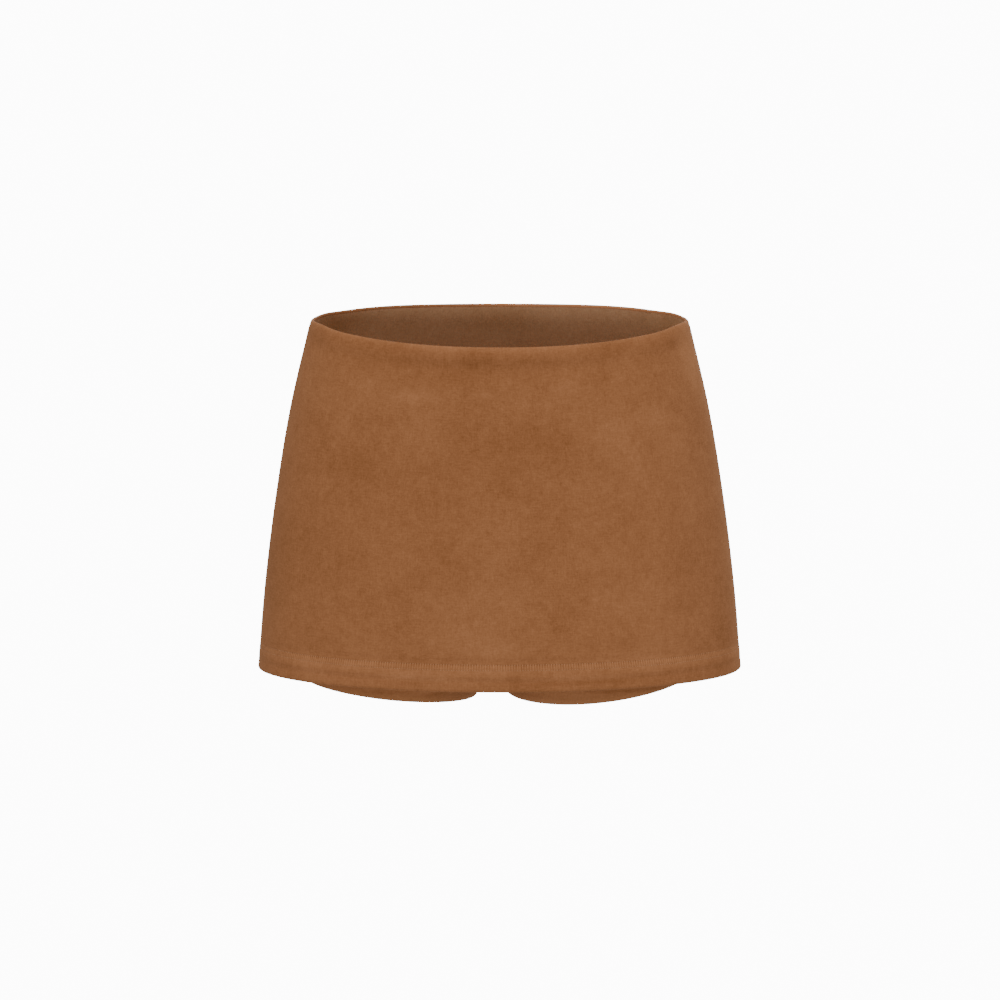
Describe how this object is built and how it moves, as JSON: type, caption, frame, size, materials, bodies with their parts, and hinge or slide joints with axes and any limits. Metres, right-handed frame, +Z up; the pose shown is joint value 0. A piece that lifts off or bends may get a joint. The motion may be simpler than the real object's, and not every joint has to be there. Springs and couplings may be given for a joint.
{
  "type": "wrap skort",
  "caption": "Low-rise flared mini skort in brown suede knit: a lapped A-line skirt with a turned hem over short inner shorts, held out as worn.",
  "frame": {"origin": "middle of the waist opening, level with its two side points, where the wearer's hips hold it", "axes": "+Z up out of the waist opening, +X towards the wearer's left along the garment's width, -Y towards the front"},
  "size_m": [0.4134, 0.2917, 0.3288],
  "materials": {
    "skirt_suede": "napped suede knit, matt with a soft mottled pile",
    "shorts_suede": "napped suede knit, matt"
  },
  "bodies": {
    "root": {"skirt_front": "skirt_suede", "skirt_back": "skirt_suede", "shorts_front_right": "shorts_suede", "shorts_front_left": "shorts_suede", "shorts_back_right": "shorts_suede", "shorts_back_left": "shorts_suede"}
  },
  "joints": []
}
